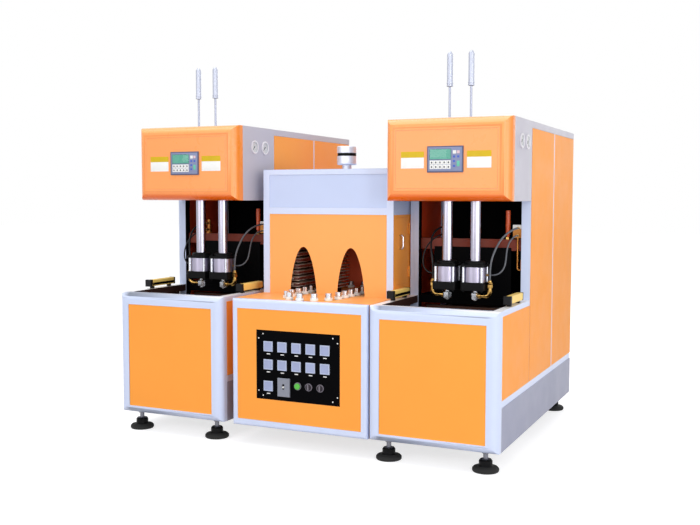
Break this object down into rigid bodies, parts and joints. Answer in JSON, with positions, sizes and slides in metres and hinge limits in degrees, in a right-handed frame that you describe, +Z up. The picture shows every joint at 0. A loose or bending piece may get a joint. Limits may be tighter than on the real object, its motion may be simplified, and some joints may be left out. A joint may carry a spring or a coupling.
{
  "type": "blow moulding machine",
  "caption": "Semi-automatic bottle blow moulding machine: blow units with nozzles and open mould wells on both sides of an infrared preform oven.",
  "frame": {"origin": "on the floor, at the middle of the machine's bounding box in X and Y", "axes": "+X to the right seen from the front, +Y to the back, +Z up"},
  "size_m": [2.188, 1.625, 2.045],
  "materials": {
    "pale_frame": "smooth pale blue-white enamel",
    "orange_paint": "smooth glossy orange enamel",
    "grey_paint": "smooth grey enamel",
    "black_paint": "satin black",
    "black_rubber": "matte black",
    "machined_steel": "machined and lightly oiled",
    "chrome": "hard chrome, polished",
    "aluminium": "turned and clear anodised",
    "brass": "turned brass",
    "dark_plastic": "moulded, fine grain",
    "white_plastic": "moulded, glossy",
    "green_plastic": "moulded, glossy",
    "yellow_paint": "yellow powder coat",
    "lamp_glass": "quartz tube, warm glow",
    "hose_rubber": "smooth black hose"
  },
  "bodies": {
    "machine": {"skirts": "grey_paint", "controllers": "dark_plastic", "gauges": "chrome", "guide_tubes": "chrome", "seal_flanges": "black_paint", "seal_barrels": "aluminium", "front_platens": "machined_steel", "clamp_cylinders": "machined_steel", "guard_plates": "black_paint", "cross_beams": "orange_paint", "air_fittings": "brass", "light_curtains": "yellow_paint", "levelling_feet": "black_rubber", "left_frame": "pale_frame", "left_panels": "orange_paint", "left_head_box": "grey_paint", "left_hood": "orange_paint", "left_hose_blow_left": "hose_rubber", "left_hose_blow_right": "hose_rubber", "left_hose_pilot_left": "hose_rubber", "left_hose_pilot_right": "hose_rubber", "right_frame": "pale_frame", "right_panels": "orange_paint", "right_head_box": "grey_paint", "right_hood": "orange_paint", "right_hose_blow_left": "hose_rubber", "right_hose_blow_right": "hose_rubber", "right_hose_pilot_left": "hose_rubber", "right_hose_pilot_right": "hose_rubber", "oven_frame": "pale_frame", "oven_panels": "orange_paint", "oven_front": "orange_paint", "oven_roof": "pale_frame", "control_plate": "black_paint", "meters": "dark_plastic", "breaker": "dark_plastic", "vent_cap": "aluminium", "preform_conveyor": "machined_steel", "reflectors": "aluminium", "lamps": "lamp_glass"},
    "left_needle_front": {"left_needle_front": "dark_plastic"},
    "left_needle_rear": {"left_needle_rear": "dark_plastic"},
    "left_nozzle_left": {"left_nozzle_left": "machined_steel"},
    "left_nozzle_right": {"left_nozzle_right": "machined_steel"},
    "left_stretch_carriage": {"left_stretch_carriage": "chrome"},
    "left_rear_platen": {"left_rear_platen": "machined_steel"},
    "right_needle_front": {"right_needle_front": "dark_plastic"},
    "right_needle_rear": {"right_needle_rear": "dark_plastic"},
    "right_nozzle_left": {"right_nozzle_left": "machined_steel"},
    "right_nozzle_right": {"right_nozzle_right": "machined_steel"},
    "right_stretch_carriage": {"right_stretch_carriage": "chrome"},
    "right_rear_platen": {"right_rear_platen": "machined_steel"},
    "oven_door": {"oven_door": "orange_paint", "oven_door_handle": "white_plastic"},
    "breaker_lever": {"breaker_lever": "dark_plastic"},
    "start_button": {"start_button": "green_plastic"},
    "knob_left": {"knob_left": "dark_plastic"},
    "knob_right": {"knob_right": "dark_plastic"},
    "sprocket_front": {"sprocket_front": "machined_steel"},
    "sprocket_rear": {"sprocket_rear": "machined_steel"}
  },
  "joints": [
    {"name": "left_needle_front_turn", "type": "hinge", "parent": "machine", "child": "left_needle_front", "pos_m": [-0.4264, -0.4525, 1.587], "axis": [-1, 0, 0], "range_deg": [0, 270]},
    {"name": "left_needle_rear_turn", "type": "hinge", "parent": "machine", "child": "left_needle_rear", "pos_m": [-0.4264, -0.3375, 1.587], "axis": [-1, 0, 0], "range_deg": [0, 270]},
    {"name": "left_nozzle_left_seal", "type": "slide", "parent": "machine", "child": "left_nozzle_left", "axis": [0, 0, -1], "range_m": [0, 0.03]},
    {"name": "left_nozzle_right_seal", "type": "slide", "parent": "machine", "child": "left_nozzle_right", "axis": [0, 0, -1], "range_m": [0, 0.03]},
    {"name": "left_stretch", "type": "slide", "parent": "machine", "child": "left_stretch_carriage", "axis": [0, 0, -1], "range_m": [0, 0.164]},
    {"name": "left_clamp", "type": "slide", "parent": "machine", "child": "left_rear_platen", "axis": [0, -1, 0], "range_m": [0, 0.09]},
    {"name": "right_needle_front_turn", "type": "hinge", "parent": "machine", "child": "right_needle_front", "pos_m": [1.0896, -0.4525, 1.587], "axis": [-1, 0, 0], "range_deg": [0, 270]},
    {"name": "right_needle_rear_turn", "type": "hinge", "parent": "machine", "child": "right_needle_rear", "pos_m": [1.0896, -0.3375, 1.587], "axis": [-1, 0, 0], "range_deg": [0, 270]},
    {"name": "right_nozzle_left_seal", "type": "slide", "parent": "machine", "child": "right_nozzle_left", "axis": [0, 0, -1], "range_m": [0, 0.03]},
    {"name": "right_nozzle_right_seal", "type": "slide", "parent": "machine", "child": "right_nozzle_right", "axis": [0, 0, -1], "range_m": [0, 0.03]},
    {"name": "right_stretch", "type": "slide", "parent": "machine", "child": "right_stretch_carriage", "axis": [0, 0, -1], "range_m": [0, 0.164]},
    {"name": "right_clamp", "type": "slide", "parent": "machine", "child": "right_rear_platen", "axis": [0, -1, 0], "range_m": [0, 0.09]},
    {"name": "oven_door_swing", "type": "hinge", "parent": "machine", "child": "oven_door", "pos_m": [0.4198, -0.2455, 0.845], "axis": [0, 0, 1], "range_deg": [0, 40]},
    {"name": "breaker_switch", "type": "hinge", "parent": "machine", "child": "breaker_lever", "pos_m": [-0.054, -0.801, 0.3308], "axis": [-1, 0, 0], "range_deg": [0, 44]},
    {"name": "start_press", "type": "slide", "parent": "machine", "child": "start_button", "axis": [0, 1, 0], "range_m": [0, 0.005], "stiffness_N_per_m": 400},
    {"name": "knob_left_turn", "type": "hinge", "parent": "machine", "child": "knob_left", "pos_m": [0.089, -0.7945, 0.339], "axis": [0, 1, 0], "range_deg": [0, 90]},
    {"name": "knob_right_turn", "type": "hinge", "parent": "machine", "child": "knob_right", "pos_m": [0.155, -0.7945, 0.339], "axis": [0, 1, 0], "range_deg": [0, 90]},
    {"name": "sprocket_front_turn", "type": "hinge", "parent": "machine", "child": "sprocket_front", "pos_m": [0.025, -0.6125, 0.767], "axis": [0, 0, 1], "continuous": true},
    {"name": "sprocket_rear_turn", "type": "hinge", "parent": "machine", "child": "sprocket_rear", "pos_m": [0.025, -0.1225, 0.767], "axis": [0, 0, 1], "continuous": true}
  ],
  "couplings": [
    {"joint": "sprocket_front_turn", "follows": "sprocket_rear_turn", "ratio": 1}
  ]
}
